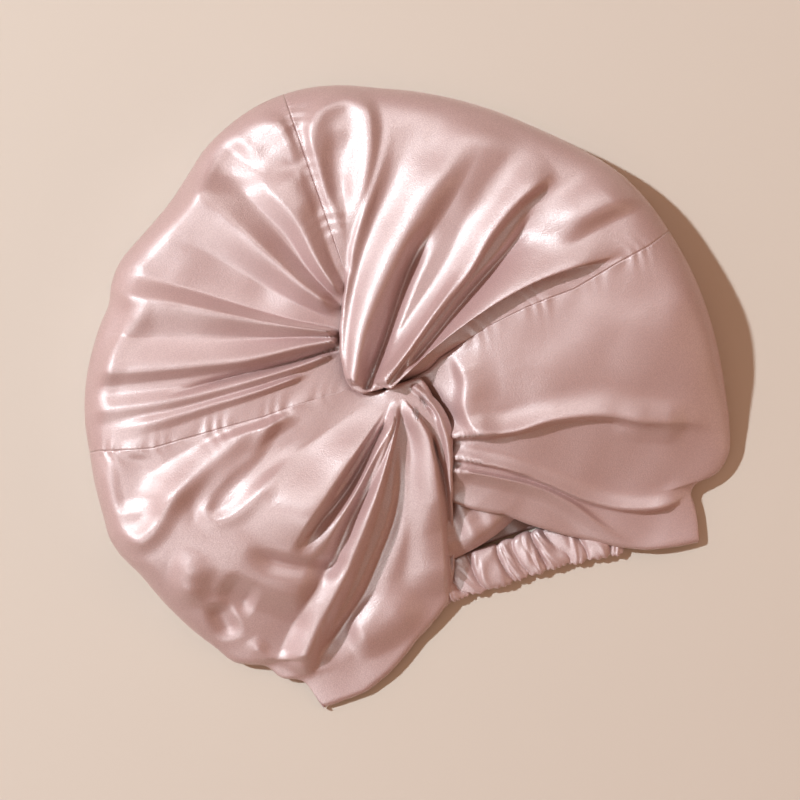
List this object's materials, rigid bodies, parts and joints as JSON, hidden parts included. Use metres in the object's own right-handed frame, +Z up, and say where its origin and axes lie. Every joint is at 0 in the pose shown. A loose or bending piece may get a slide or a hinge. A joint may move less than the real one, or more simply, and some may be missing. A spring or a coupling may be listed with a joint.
{
  "type": "sleep bonnet",
  "caption": "Satin sleep bonnet lying on its back, with a twisted gathered front, seamed panels, a free hem and a ruched elastic edge at its opening.",
  "frame": {"origin": "centre of the bounding box's bottom, on the surface that the bonnet lies on", "axes": "+Z up, out of the twisted front; -Y out of the head opening; +X to the right panel, seen from above"},
  "size_m": [0.3548, 0.3226, 0.056],
  "materials": {
    "left_panel_satin": "blush pink satin, soft sheen",
    "top_panel_satin": "blush pink satin, soft sheen",
    "right_panel_satin": "blush pink satin, soft sheen",
    "lower_panel_satin": "blush pink satin, soft sheen",
    "inner_flap_satin": "blush pink satin, soft sheen",
    "back_panel_satin": "blush pink satin, soft sheen",
    "elastic_band_satin": "blush pink satin, soft sheen"
  },
  "bodies": {
    "root": {"left_panel": "left_panel_satin", "top_panel": "top_panel_satin", "right_panel": "right_panel_satin", "lower_panel": "lower_panel_satin", "inner_flap": "inner_flap_satin", "back_panel": "back_panel_satin", "elastic_band": "elastic_band_satin"}
  },
  "joints": []
}
